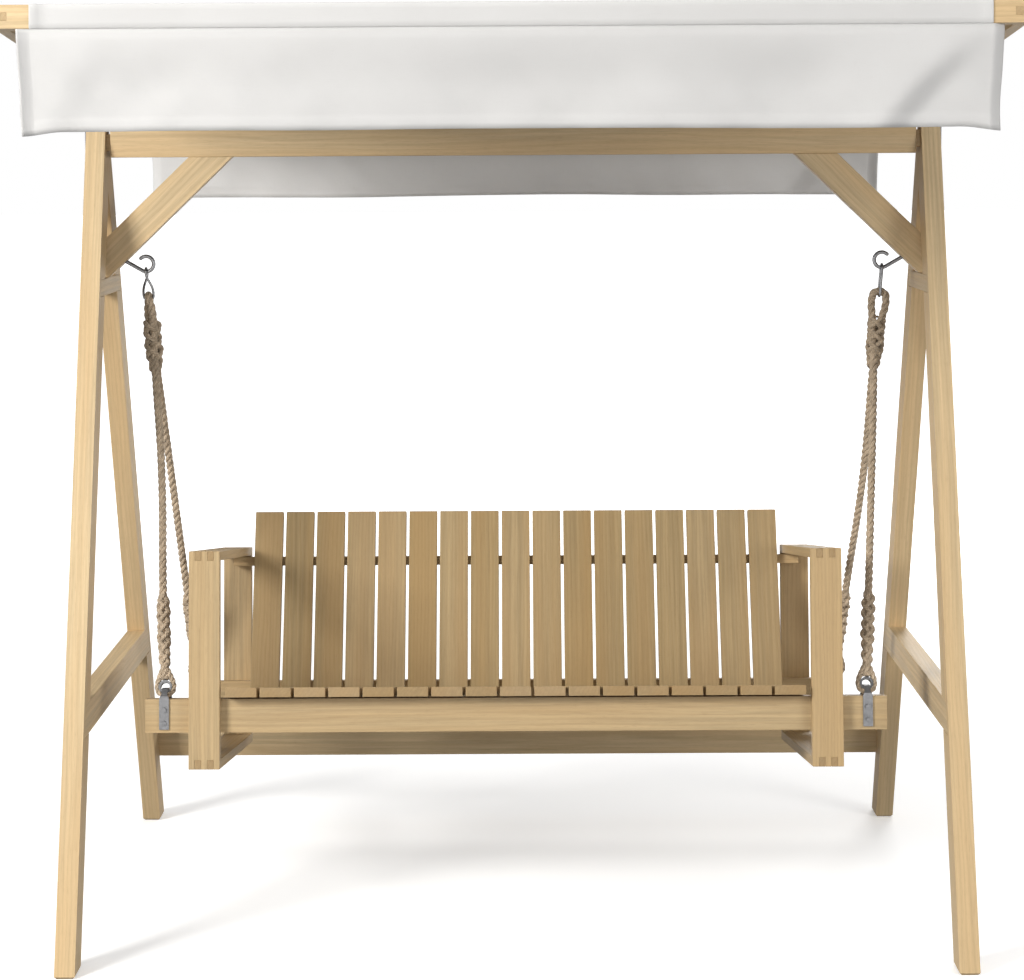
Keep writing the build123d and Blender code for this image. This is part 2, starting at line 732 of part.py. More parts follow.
# ================================================================ canopy
CANOPY = Location((0, 0, PIVOT_Z), (-CANOPY_TILT, 0, 0))
half_h = RAIL_H / 2
third = RAIL_H / 3


def make_cross_rail():
    # front rail, its ends bitten so that the side rail's middle finger shows
    rail = box(-side_out, side_out, -RAIL_HALF, -RAIL_HALF + RAIL_T, -half_h, half_h)
    for side in (-1, 1):
        x0 = side_in - FIT
        rail -= box(side * x0, side * (side_out + 5), -RAIL_HALF - 5, 0, -third / 2 - FIT, third / 2 + FIT)
    return rail


def make_side_rail():
    rail = box(side_in, side_out, -RAIL_HALF, RAIL_HALF, -half_h, half_h)
    for end in (-1, 1):
        for level in (-1, 1):
            y0 = end * (RAIL_HALF - RAIL_T - FIT)
            y1 = end * (RAIL_HALF + 5)
            rail -= box(side_in - 5, side_out + 5, y0, y1, level * third / 2, level * (half_h + 5))
    return rail - Pos(side_in, 0, 0) * Rot(0, 90, 0) * Cylinder(BOLT_D / 2 + PIVOT_FIT, 90)


cross_rail = make_cross_rail()
side_rail = make_side_rail()
parts["canopy_front_rail"] = CANOPY * cross_rail
parts["canopy_rear_rail"] = CANOPY * cross_rail.mirror(Plane.XZ)
parts["canopy_side_rail_right"] = CANOPY * side_rail
parts["canopy_side_rail_left"] = flip(CANOPY * side_rail)
middle_rail = box(-side_in, side_in, MIDDLE_U, MIDDLE_U + TIMBER, -half_h + 4, half_h - 4)
parts["canopy_middle_rail"] = CANOPY * middle_rail

# top cloth: sleeved round the front and rear rails and stretched between them
near = CLOTH_OFF
far = CLOTH_OFF + CLOTH_T
out_u = RAIL_HALF + far
in_u = RAIL_HALF + near
back_u = RAIL_HALF - RAIL_T + 2
cloth_outline = [
    (-in_u, -half_h - near),
    (-out_u, -half_h - near),
    (-out_u, half_h + far),
    (out_u, half_h + far),
    (out_u, -half_h - near),
    (in_u, -half_h - near),
    (in_u, half_h + near),
    (-in_u, half_h + near),
]
parts["canopy_top_cloth"] = CANOPY * yz_prism(cloth_outline, -SLEEVE_HALF, SLEEVE_HALF)

# the band that closes each sleeve under its rail, sewn to the bottom of the sleeve's face
band = box(-SLEEVE_HALF, SLEEVE_HALF, -out_u, -back_u, -half_h - far, -half_h - near)
parts["canopy_sleeve_bands"] = CANOPY * (band + band.mirror(Plane.XZ))


def canopy_point(u, w):
    a = math.radians(CANOPY_TILT)
    return (u * math.cos(a) + w * math.sin(a), PIVOT_Z - u * math.sin(a) + w * math.cos(a))


def make_valance(end):
    y, z = canopy_point(end * out_u, -half_h - far)
    top = z - 0.3
    outline = [
        (-VALANCE_TOP_HALF, top),
        (VALANCE_TOP_HALF, top),
        (VALANCE_LOW_HALF, top - VALANCE_DROP),
        (-VALANCE_LOW_HALF, top - VALANCE_DROP),
    ]
    return xz_prism(outline, y, y - end * CLOTH_T)


parts["canopy_front_valance"] = make_valance(-1)
parts["canopy_rear_valance"] = make_valance(1)

for name, shape in parts.items():
    shape.label = name
    export_step(shape, os.path.join("parts", name + ".step"))
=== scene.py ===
import json
import math

import bpy
from mathutils import Matrix, Vector, noise


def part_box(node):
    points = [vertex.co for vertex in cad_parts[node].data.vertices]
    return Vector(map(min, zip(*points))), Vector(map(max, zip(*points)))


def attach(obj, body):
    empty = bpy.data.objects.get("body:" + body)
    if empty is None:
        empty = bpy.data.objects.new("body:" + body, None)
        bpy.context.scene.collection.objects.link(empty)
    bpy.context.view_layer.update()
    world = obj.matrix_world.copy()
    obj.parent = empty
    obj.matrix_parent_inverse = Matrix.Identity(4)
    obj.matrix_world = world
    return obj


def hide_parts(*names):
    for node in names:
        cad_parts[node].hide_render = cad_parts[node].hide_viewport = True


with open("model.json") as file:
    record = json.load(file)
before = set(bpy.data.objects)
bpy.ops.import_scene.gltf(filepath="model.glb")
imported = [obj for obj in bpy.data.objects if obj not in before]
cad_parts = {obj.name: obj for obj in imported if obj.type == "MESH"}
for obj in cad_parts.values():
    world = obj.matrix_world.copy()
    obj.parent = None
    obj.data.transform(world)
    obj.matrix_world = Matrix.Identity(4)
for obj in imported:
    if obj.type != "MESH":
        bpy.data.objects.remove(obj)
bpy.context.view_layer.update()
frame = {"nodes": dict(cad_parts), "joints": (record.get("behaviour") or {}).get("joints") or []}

# Canopy swing bench, looks.  Metres, +Z up, the front faces -Y.

MM = 0.001
JOINTS = {j["name"]: j for j in frame["joints"]}

# ---------------------------------------------------------------- named sizes
EASE_STAND = 2.2 * MM
EASE_BENCH = 0.9 * MM
EASE_SLAT = 1.6 * MM
ROPE_D = 17.0 * MM
ROPE_LAY = 50.0 * MM
EYE_D = 12.0 * MM
EYE_LAY = 36.0 * MM
YARNS = 5
YARN_PITCH = 0.0052
GROWTH_RING = 0.0095
THREAD = 0.0011
ZINC_ROUGH = 0.34
CANVAS = 1.1 * MM
CANOPY_TILT = math.radians(5.6)
SLAT_PITCH = 77.2 * MM
LEAN = math.radians(19.0)
BENCH_TILT = math.radians(8.7)
BACK_ANGLE = math.radians(16.0) + BENCH_TILT
SEAT_ANGLE = math.radians(4.1) + BENCH_TILT

STAND = (0.585, 0.446, 0.262)
# painted shade: the bench timber and, darker still, the back slats get darker copies of the wood colour to
# stand in for the canopy's shade; a little of it is their own deeper tone
BENCH_TONE_AND_PAINTED_SHADE = (0.480, 0.356, 0.197)
SLAT_TONE_AND_PAINTED_SHADE = (0.375, 0.274, 0.142)
PORE = (0.16, 0.09, 0.045)
STEEL = (0.205, 0.205, 0.21)
HEMP = (0.520, 0.418, 0.305)
CLOTH = (0.570, 0.564, 0.558)
REAR_CLOTH_PAINTED_LIGHT = 1.16      # painted light: the rear flap is the same canvas as the front, made lighter to stand in for light on its shaded inner face

scene = bpy.context.scene


# ================================================================ materials
class Nodes:
    """Small helper that adds and joins shader nodes."""

    def __init__(self, name):
        self.material = bpy.data.materials.new(name)
        self.material.use_nodes = True
        self.tree = self.material.node_tree
        self.shader = self.tree.nodes["Principled BSDF"]

    def add(self, kind, **values):
        node = self.tree.nodes.new("ShaderNode" + kind)
        for key, value in values.items():
            setattr(node, key, value)
        return node

    def put(self, value, socket):
        if isinstance(value, bpy.types.NodeSocket):
            self.tree.links.new(value, socket)
        else:
            socket.default_value = value

    def maths(self, operation, a, b=0.0, clamp=False):
        node = self.add("Math", operation=operation, use_clamp=clamp)
        self.put(a, node.inputs[0])
        self.put(b, node.inputs[1])
        return node.outputs[0]

    def vector(self, operation, a, b=(0.0, 0.0, 0.0)):
        node = self.add("VectorMath", operation=operation)
        self.put(a, node.inputs[0])
        self.put(b, node.inputs[1])
        return node.outputs["Value"] if operation in ("DOT_PRODUCT", "LENGTH") else node.outputs["Vector"]

    def combine(self, x, y, z):
        node = self.add("CombineXYZ")
        for value, socket in zip((x, y, z), node.inputs):
            self.put(value, socket)
        return node.outputs[0]

    def split(self, vector):
        node = self.add("SeparateXYZ")
        self.put(vector, node.inputs[0])
        return node.outputs

    def noise(self, vector, scale, detail=2.0, rough=0.5):
        node = self.add("TexNoise")
        self.put(vector, node.inputs["Vector"])
        node.inputs["Scale"].default_value = scale
        node.inputs["Detail"].default_value = detail
        node.inputs["Roughness"].default_value = rough
        return node.outputs["Fac"]

    def ramp(self, value, low, high, a=0.0, b=1.0):
        node = self.add("MapRange", interpolation_type="SMOOTHSTEP")
        self.put(value, node.inputs["Value"])
        for socket, number in zip(list(node.inputs)[1:5], (low, high, a, b)):
            socket.default_value = number
        return node.outputs["Result"]

    def mix(self, factor, a, b, blend="MIX"):
        node = self.add("Mix", data_type="RGBA", blend_type=blend)
        self.put(factor, node.inputs[0])
        self.put(a, node.inputs[6])
        self.put(b, node.inputs[7])
        return node.outputs[2]

    def bump(self, height, distance, strength=1.0):
        node = self.add("Bump")
        node.inputs["Strength"].default_value = strength
        node.inputs["Distance"].default_value = distance
        self.put(height, node.inputs["Height"])
        self.put(node.outputs[0], self.shader.inputs["Normal"])

    def set(self, name, value):
        self.put(value, self.shader.inputs[name])


def rgba(colour, scale=1.0):
    return tuple(min(1.0, c * scale) for c in colour) + (1.0,)


def tint(colour, red, green, blue):
    """The colour with each channel scaled by its own share."""
    return rgba((colour[0] * red, colour[1] * green, colour[2] * blue))


def timber(name, axis, colour, seed, pitch=0.0):
    """Oiled hardwood with its grain along axis; pitch gives each slat of a row its own board."""
    along = Vector(axis).normalized()
    side = Vector((1, 0, 0)) if abs(along.x) < 0.9 else Vector((0, 1, 0))
    across = (side - along * side.dot(along)).normalized()
    third = along.cross(across)
    n = Nodes(name)
    coord = n.add("TexCoord")
    point = coord.outputs["Object"]
    shift_along = 1.7 * seed
    shift_across = 0.37 * seed
    tone = 0.5
    if pitch:
        cell = n.maths("ROUND", n.maths("DIVIDE", n.split(point)[0], pitch))
        shift_along = n.maths("MULTIPLY_ADD", cell, 1.37)
        shift_along.node.inputs[2].default_value = 1.7 * seed
        shift_across = n.maths("MULTIPLY_ADD", cell, 0.53)
        shift_across.node.inputs[2].default_value = 0.37 * seed
        white = n.add("TexWhiteNoise", noise_dimensions="1D")
        n.put(n.maths("ADD", cell, 11.3 + seed), white.inputs["W"])
        tone = white.outputs["Value"]
    q = n.combine(
        n.maths("ADD", n.vector("DOT_PRODUCT", point, along), shift_along),
        n.maths("ADD", n.vector("DOT_PRODUCT", point, across), shift_across),
        n.maths("ADD", n.vector("DOT_PRODUCT", point, third), shift_across),
    )
    warp = n.noise(n.vector("MULTIPLY", q, (1.1, 9.0, 9.0)), 1.0, 3.0)
    broad = n.noise(n.vector("MULTIPLY", q, (0.9, 13.0, 13.0)), 1.0, 2.0)
    streak = n.noise(n.vector("MULTIPLY", q, (2.2, 95.0, 95.0)), 1.0, 3.0, 0.6)
    fibre = n.noise(n.vector("MULTIPLY", q, (14.0, 620.0, 620.0)), 1.0, 2.0, 0.6)
    pore = n.noise(n.vector("MULTIPLY", q, (45.0, 1500.0, 1500.0)), 1.0, 1.0)
    parts = n.split(q)
    ring = n.maths("MULTIPLY_ADD", warp, 0.055)
    n.put(n.maths("ADD", parts[1], n.maths("MULTIPLY", parts[2], 0.62)), ring.node.inputs[2])
    wave = n.maths("SINE", n.maths("MULTIPLY", ring, 2 * math.pi / GROWTH_RING))
    latewood = n.ramp(wave, -0.2, 0.95)
    end = n.maths("ABSOLUTE", n.vector("DOT_PRODUCT", coord.outputs["Normal"], along))
    end = n.ramp(end, 0.72, 0.9)
    base = n.mix(n.ramp(streak, 0.32, 0.70), rgba(colour, 0.84), rgba(colour, 1.10))
    base = n.mix(n.ramp(broad, 0.35, 0.68, 0.0, 0.75), base, tint(colour, 1.02, 0.93, 0.82))
    base = n.mix(n.maths("MULTIPLY", latewood, 0.19), base, tint(colour, 0.66, 0.58, 0.48))
    base = n.mix(n.ramp(fibre, 0.52, 0.78, 0.0, 0.34), base, tint(colour, 0.62, 0.55, 0.45))
    base = n.mix(n.ramp(pore, 0.60, 0.72, 0.0, 0.22), base, rgba(PORE))
    base = n.mix(n.maths("MULTIPLY", end, 0.50), base, tint(colour, 0.50, 0.42, 0.33))
    if pitch:
        value = n.add("HueSaturation")
        n.put(n.ramp(tone, 0.0, 1.0, 0.94, 1.06), value.inputs["Value"])
        n.put(n.ramp(tone, 0.0, 1.0, 1.04, 0.97), value.inputs["Saturation"])
        n.put(base, value.inputs["Color"])
        base = value.outputs[0]
    n.set("Base Color", base)
    n.set("Roughness", n.ramp(streak, 0.2, 0.8, 0.50, 0.66))
    n.set("Specular IOR Level", 0.32)
    height = n.maths("SUBTRACT", n.maths("MULTIPLY", streak, 0.5), n.maths("MULTIPLY", fibre, 0.8))
    n.bump(n.maths("SUBTRACT", height, n.maths("MULTIPLY", latewood, 0.12)), 0.0006, 0.55)
    return n.material


def canvas(name, colour, seed, painted_light_scale=1.0):
    """Woven cotton canvas: fine threads, slubs and soft staining."""
    n = Nodes(name)
    point = n.add("TexCoord").outputs["Object"]
    x, y, z = n.split(point)
    lift = n.maths("ADD", n.maths("MULTIPLY", z, 0.98), n.maths("MULTIPLY", y, 1.02))
    pick = 2 * math.pi / THREAD
    warp = n.maths("SINE", n.maths("MULTIPLY", x, pick))
    weft = n.maths("SINE", n.maths("MULTIPLY", lift, pick))
    weave = n.maths("MULTIPLY", warp, weft)
    slub = n.noise(n.vector("MULTIPLY", point, (30.0, 500.0, 500.0)), 1.0, 2.0)
    slub_up = n.noise(n.vector("MULTIPLY", point, (600.0, 40.0, 40.0)), 1.0, 2.0)
    cloud = n.noise(n.vector("ADD", point, (seed, 0.0, seed * 0.3)), 4.0, 3.0)
    # painted light: the last argument scales the whole canvas colour up, for a flap that hangs in shade
    base = n.mix(n.ramp(cloud, 0.3, 0.7), rgba(colour, 0.975 * painted_light_scale), rgba(colour, 1.02 * painted_light_scale))
    base = n.mix(n.ramp(slub, 0.55, 0.8, 0.0, 0.10), base, tint(colour, 0.80, 0.79, 0.76))
    base = n.mix(n.ramp(slub_up, 0.55, 0.8, 0.0, 0.08), base, tint(colour, 0.82, 0.81, 0.79))
    n.set("Base Color", base)
    n.set("Roughness", n.ramp(slub, 0.2, 0.8, 0.86, 0.95))
    n.set("Specular IOR Level", 0.18)
    n.set("Sheen Weight", 0.18)
    n.set("Sheen Roughness", 0.6)
    height = n.maths("ADD", n.maths("MULTIPLY", weave, 0.18), n.maths("MULTIPLY", slub, 0.5))
    n.bump(n.maths("ADD", height, n.maths("MULTIPLY", slub_up, 0.5)), 0.0005, 0.35)
    return n.material


def hemp(name, colour, seed):
    """Laid rope strand: yarns wound round the strand, read from its own UV map."""
    n = Nodes(name)
    uv = n.add("UVMap", uv_map="strand")
    u, v, _ = n.split(uv.outputs[0])
    point = n.add("TexCoord").outputs["Object"]
    round_strand = n.maths("MULTIPLY", u, 2 * math.pi * YARNS)
    along_strand = n.maths("MULTIPLY", v, 2 * math.pi / YARN_PITCH)
    yarn = n.maths("SINE", n.maths("ADD", round_strand, along_strand))
    hair = n.noise(n.vector("MULTIPLY", point, (1.0, 1.0, 0.35)), 1900.0, 3.0, 0.7)
    blotch = n.noise(n.vector("ADD", point, (seed, seed, 0.0)), 70.0, 3.0)
    base = n.mix(n.ramp(blotch, 0.3, 0.72), rgba(colour, 0.78), rgba(colour, 1.22))
    # painted shade: the grooves between the yarns are darkened
    base = n.mix(n.ramp(yarn, -1.0, 0.1, 0.42, 0.0), base, tint(colour, 0.42, 0.36, 0.30))
    base = n.mix(n.ramp(hair, 0.50, 0.75, 0.0, 0.40), base, tint(colour, 1.55, 1.5, 1.4))
    base = n.mix(n.ramp(hair, 0.46, 0.25, 0.0, 0.45), base, tint(colour, 0.40, 0.34, 0.28))
    n.set("Base Color", base)
    n.set("Roughness", n.ramp(hair, 0.2, 0.8, 0.80, 0.94))
    n.set("Specular IOR Level", 0.15)
    n.set("Sheen Weight", 0.15)
    n.bump(n.maths("ADD", n.maths("MULTIPLY", yarn, 0.6), hair), 0.0009, 0.8)
    return n.material


def zinc(name, colour, rough, seed):
    """Galvanised steel: cloudy spangle, matt in places."""
    n = Nodes(name)
    point = n.vector("ADD", n.add("TexCoord").outputs["Object"], (seed, 0.0, 0.0))
    cells = n.add("TexVoronoi")
    n.put(point, cells.inputs["Vector"])
    cells.inputs["Scale"].default_value = 260.0
    spangle = n.split(cells.outputs["Color"])[0]
    cloud = n.noise(point, 55.0, 3.0)
    base = n.mix(n.maths("MULTIPLY", spangle, 0.35), rgba(colour, 0.9), rgba(colour, 1.25))
    base = n.mix(n.ramp(cloud, 0.5, 0.75, 0.0, 0.4), base, rgba(colour, 0.55))
    n.set("Base Color", base)
    n.set("Metallic", 1.0)
    n.set("Roughness", n.ramp(cloud, 0.25, 0.75, rough, rough + 0.18))
    n.bump(n.maths("ADD", spangle, cloud), 0.0002, 0.3)
    return n.material


def dress(node, material):
    mesh = frame["nodes"][node].data
    mesh.materials.clear()
    mesh.materials.append(material)


def ease(node, width):
    """Round the arrises of a sawn piece a little; flat regions are merged first."""
    obj = frame["nodes"][node]
    weld = obj.modifiers.new("weld", "WELD")
    weld.merge_threshold = 0.00002
    merge = obj.modifiers.new("flat_regions", "DECIMATE")
    merge.decimate_type = "DISSOLVE"
    merge.angle_limit = math.radians(0.5)
    bevel = obj.modifiers.new("ease", "BEVEL")
    bevel.width = width
    bevel.segments = 2
    bevel.limit_method = "ANGLE"
    bevel.angle_limit = math.radians(35)
    bevel.use_clamp_overlap = True
    flat = obj.modifiers.new("flat_faces", "WEIGHTED_NORMAL")
    flat.mode = "FACE_AREA"
    flat.weight = 100


UP_FRONT = (0.0, math.sin(LEAN), math.cos(LEAN))
UP_REAR = (0.0, -math.sin(LEAN), math.cos(LEAN))
UP_BENCH = (0, math.sin(BENCH_TILT), math.cos(BENCH_TILT))
BACK_BENCH = (0, math.cos(BENCH_TILT), -math.sin(BENCH_TILT))
ACROSS = (1, 0, 0)
BACKWARD = (0, 1, 0)
BRACE_AXIS = (0.724, 0, 0.690)      # up the left knee brace
PAIR = ("_left", "_right")
SINGLE = ("",)

# name, sides, grain axis (of the left piece in a pair), colour, eased edge
WOODEN = [
    ("leg_front", PAIR, UP_FRONT, STAND, EASE_STAND),
    ("leg_rear", PAIR, UP_REAR, STAND, EASE_STAND),
    ("lower_tie", PAIR, BACKWARD, STAND, EASE_STAND),
    ("upper_tie", PAIR, BACKWARD, STAND, EASE_STAND),
    ("knee_brace", PAIR, BRACE_AXIS, STAND, EASE_STAND),
    ("ridge_beam", SINGLE, ACROSS, STAND, EASE_STAND),
    ("rear_stretcher", SINGLE, ACROSS, STAND, EASE_STAND),
    ("front_beam", SINGLE, ACROSS, BENCH_TONE_AND_PAINTED_SHADE, EASE_STAND),
    ("rear_beam", SINGLE, ACROSS, BENCH_TONE_AND_PAINTED_SHADE, EASE_STAND),
    ("seat_bearer", PAIR, BACKWARD, BENCH_TONE_AND_PAINTED_SHADE, EASE_BENCH),
    ("seat_rear_rail", SINGLE, ACROSS, BENCH_TONE_AND_PAINTED_SHADE, EASE_BENCH),
    ("back_upper_rail", SINGLE, ACROSS, BENCH_TONE_AND_PAINTED_SHADE, EASE_BENCH),
    ("arm", PAIR, BACK_BENCH, BENCH_TONE_AND_PAINTED_SHADE, EASE_BENCH),
    ("bottom_rail", PAIR, BACK_BENCH, BENCH_TONE_AND_PAINTED_SHADE, EASE_BENCH),
    ("front_post", PAIR, UP_BENCH, BENCH_TONE_AND_PAINTED_SHADE, EASE_BENCH),
    ("rear_post", PAIR, UP_BENCH, BENCH_TONE_AND_PAINTED_SHADE, EASE_BENCH),
    ("canopy_front_rail", SINGLE, ACROSS, STAND, EASE_BENCH),
    ("canopy_rear_rail", SINGLE, ACROSS, STAND, EASE_BENCH),
    ("canopy_middle_rail", SINGLE, ACROSS, STAND, EASE_STAND),
    ("canopy_side_rail", PAIR, BACKWARD, STAND, EASE_BENCH),
]
seed = 0
for stem, sides, axis, colour, width in WOODEN:
    for side in sides:
        seed += 1
        grain = (-axis[0], axis[1], axis[2]) if stem == "knee_brace" and side == "_right" else axis
        dress(stem + side, timber("oak_" + stem + side, grain, colour, seed))
        ease(stem + side, width)

back_axis = (0, math.sin(BACK_ANGLE), math.cos(BACK_ANGLE))
seat_axis = (0, math.cos(SEAT_ANGLE), -math.sin(SEAT_ANGLE))
dress("back_slats", timber("oak_back_slats", back_axis, SLAT_TONE_AND_PAINTED_SHADE, 41, SLAT_PITCH))
dress("seat_slats", timber("oak_seat_slats", seat_axis, BENCH_TONE_AND_PAINTED_SHADE, 57, SLAT_PITCH))
ease("back_slats", EASE_SLAT)
ease("seat_slats", EASE_SLAT)

for number, node in enumerate(
    [
        "hook_left", "hook_right", "link_left", "link_right", "stand_screws", "strap_bolts",
        "canopy_pivot_bolts", "canopy_bracket_left", "canopy_bracket_right",
        "hanger_strap_front_left", "hanger_strap_front_right",
        "hanger_strap_rear_left", "hanger_strap_rear_right",
        "thimble_front_left", "thimble_front_right", "thimble_rear_left", "thimble_rear_right",
    ]
):
    dress(node, zinc("zinc_" + node, STEEL, ZINC_ROUGH, number * 0.31))


# ================================================================ meshes
def make_object(name, vertices, faces, material):
    mesh = bpy.data.meshes.new(name)
    mesh.from_pydata([tuple(v) for v in vertices], [], faces)
    mesh.materials.append(material)
    for polygon in mesh.polygons:
        polygon.use_smooth = True
    obj = bpy.data.objects.new(name, mesh)
    scene.collection.objects.link(obj)
    return obj


def spline_line(points, step=0.0025):
    """Even points along the smooth line of a route's NURBS spline."""
    curve = bpy.data.curves.new("route", "CURVE")
    curve.dimensions = "3D"
    curve.resolution_u = 24
    spline = curve.splines.new("NURBS")
    spline.points.add(len(points) - 1)
    for item, point in zip(spline.points, points):
        item.co = (*point, 1.0)
    spline.order_u = 3
    spline.use_endpoint_u = True
    holder = bpy.data.objects.new("route", curve)
    scene.collection.objects.link(holder)
    bpy.context.view_layer.update()
    mesh = bpy.data.meshes.new_from_object(holder)
    raw = [v.co.copy() for v in mesh.vertices]
    bpy.data.objects.remove(holder)
    bpy.data.curves.remove(curve)
    bpy.data.meshes.remove(mesh)
    run = [0.0]
    for a, b in zip(raw, raw[1:]):
        run.append(run[-1] + (b - a).length)
    count = max(2, int(run[-1] / step))
    even, at = [], 0
    for i in range(count + 1):
        s = run[-1] * i / count
        while at < len(run) - 2 and run[at + 1] < s:
            at += 1
        span = run[at + 1] - run[at]
        even.append(raw[at].lerp(raw[at + 1], (s - run[at]) / span if span else 0.0))
    return even


def frames(line):
    """Twist-free cross directions along a line."""
    tangents = []
    for i in range(len(line)):
        a, b = line[max(0, i - 1)], line[min(len(line) - 1, i + 1)]
        tangents.append((b - a).normalized())
    side = tangents[0].orthogonal().normalized()
    out = []
    for t in tangents:
        side = (side - t * side.dot(t)).normalized()
        out.append((side, t.cross(side)))
    return out


class Strands:
    """Collects round strands into one mesh, with a UV map that follows each of them."""

    def __init__(self, sides=9):
        self.sides = sides
        self.vertices, self.faces, self.uv = [], [], []

    def add(self, line, radii):
        start = len(self.vertices)
        run = 0.0
        runs = []
        for i, (point, (a, b)) in enumerate(zip(line, frames(line))):
            if i:
                run += (line[i] - line[i - 1]).length
            runs.append(run)
            for k in range(self.sides):
                turn = 2 * math.pi * k / self.sides
                self.vertices.append(point + (a * math.cos(turn) + b * math.sin(turn)) * radii[i])
        for i in range(len(line) - 1):
            for k in range(self.sides):
                k2 = (k + 1) % self.sides
                low, high = start + i * self.sides, start + (i + 1) * self.sides
                self.faces.append((low + k, low + k2, high + k2, high + k))
                u0, u1 = k / self.sides, (k + 1) / self.sides
                self.uv += [(u0, runs[i]), (u1, runs[i]), (u1, runs[i + 1]), (u0, runs[i + 1])]
        for end, order in ((0, -1), (len(line) - 1, 1)):
            ring = [start + end * self.sides + k for k in range(self.sides)][::order]
            self.faces.append(tuple(ring))
            self.uv += [(0.0, runs[end])] * self.sides

    def build(self, name, material):
        obj = make_object(name, self.vertices, self.faces, material)
        layer = obj.data.uv_layers.new(name="strand")
        for item, value in zip(layer.data, self.uv):
            item.uv = value
        return obj


def helix(line, radius, turn_at, phase):
    """A line that winds round another one."""
    out = []
    run = 0.0
    for i, (point, (a, b)) in enumerate(zip(line, frames(line))):
        if i:
            run += (line[i] - line[i - 1]).length
        angle = phase + turn_at(run)
        out.append(point + (a * math.cos(angle) + b * math.sin(angle)) * radius(run))
    return out


def total(line):
    return sum((b - a).length for a, b in zip(line, line[1:]))


def laid_rope(strands, line, diameter, lay, seed):
    """Three strands laid up right-handed, each slightly uneven."""
    thick = diameter / 2 * 0.58
    ring = diameter / 2 * 0.55
    for k in range(3):
        wind = helix(line, lambda s: ring, lambda s: 2 * math.pi * s / lay, 2 * math.pi * k / 3)
        radii = [
            thick * (1.0 + 0.05 * noise.noise(Vector((seed + k, i * 0.06, 0.0)))) for i in range(len(wind))
        ]
        strands.add(wind, radii)


def braid(strands, line, profile, thick, lay, lift, phase=0.0):
    """Strands tucked over and under each other round a line."""
    length = total(line)
    for hand in (1, -1):
        for k in range(3):
            def radius(s, hand=hand):
                return profile(s / length) + hand * lift * math.cos(3 * 2 * math.pi * s / lay)

            def turn(s, hand=hand):
                return hand * 2 * math.pi * s / lay

            wind = helix(line, radius, turn, 2 * math.pi * k / 3 + phase)
            count = len(wind) - 1
            radii = [thick * min(1.0, 0.35 + 9 * min(i, count - i) / count) for i in range(count + 1)]
            strands.add(wind, radii)


# ================================================================ ropes
# centre line of the right rope: front splice, up and over the link, rear splice; its rear leg bows a little
RIGHT_ROPE = [
    (0.7967, -0.3170, 0.5834),
    (0.8108, -0.2408, 0.7580),
    (0.8535, -0.0106, 1.2854),
    (0.8475, -0.0085, 1.3225),
    (0.8498, -0.0010, 1.3720),
    (0.8452, 0.0000, 1.4064),
    (0.8498, 0.0000, 1.4400),
    (0.8807, 0.0000, 1.4376),
    (0.8808, 0.0000, 1.4039),
    (0.8691, 0.0010, 1.3704),
    (0.8648, 0.0085, 1.3215),
    (0.8535, 0.0106, 1.2854),
    (0.8450, 0.0850, 0.9825),
    (0.8127, 0.1823, 0.6796),
    (0.8004, 0.2343, 0.4963),
]
# the left rope's eye hangs on the twisted link, its plane turned to the side; its front leg bows a little
LEFT_ROPE = [
    (-0.7967, -0.3170, 0.5834),
    (-0.8108, -0.2408, 0.7580),
    (-0.8230, -0.1150, 1.0217),
    (-0.8535, -0.0106, 1.2854),
    (-0.8530, -0.0098, 1.3220),
    (-0.8535, -0.0085, 1.3600),
    (-0.8545, -0.0143, 1.4021),
    (-0.8640, -0.0155, 1.4388),
    (-0.8672, 0.0155, 1.4388),
    (-0.8713, 0.0143, 1.4021),
    (-0.8663, 0.0085, 1.3600),
    (-0.8590, 0.0098, 1.3220),
    (-0.8535, 0.0106, 1.2854),
    (-0.8127, 0.1823, 0.6796),
    (-0.8004, 0.2343, 0.4963),
]
# one lower eye, across the rope and up from the thimble's centre
EYE = [
    (0.0010, 0.0500), (-0.0052, 0.0410), (-0.0120, 0.0250), (-0.0182, 0.0090), (-0.0182, -0.0078),
    (-0.0076, -0.0181), (0.0076, -0.0181), (0.0182, -0.0078), (0.0182, 0.0090), (0.0120, 0.0250),
    (0.0052, 0.0410), (-0.0010, 0.0500),
]
# the top splice's centre line, sideways and up, from under the eye to its tail
TOP_SPLICE = [(0.8600, 1.3790), (0.8566, 1.3260), (0.8531, 1.2790), (0.8512, 1.2560)]
SPLICE_LEN = 0.178
SPLICE_START = 0.042        # up the rope from the thimble's centre
# tucked strands of a splice: radius, lay, and how far they rise and dip
LOWER_BRAID = (0.0047, 0.072, 0.0019)
TOP_BRAID = (0.0056, 0.085, 0.0016)


def lower_splice_profile(part):
    """Half width of the tucked strands from the neck up to the crown."""
    swell = 0.0062 + 0.0040 * min(1.0, part / 0.35)
    close = max(0.0, (part - 0.90) / 0.10)
    return swell * (1 - 0.45 * close) + 0.0008 * math.sin(part * 19.0)


def top_splice_profile(part):
    closing = max(0.0, (part - 0.62) / 0.38)
    return 0.0158 * (1 - 0.45 * closing) + 0.0007 * math.sin(part * 14.0)


def middle(node):
    low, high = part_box(node)
    return (low + high) / 2


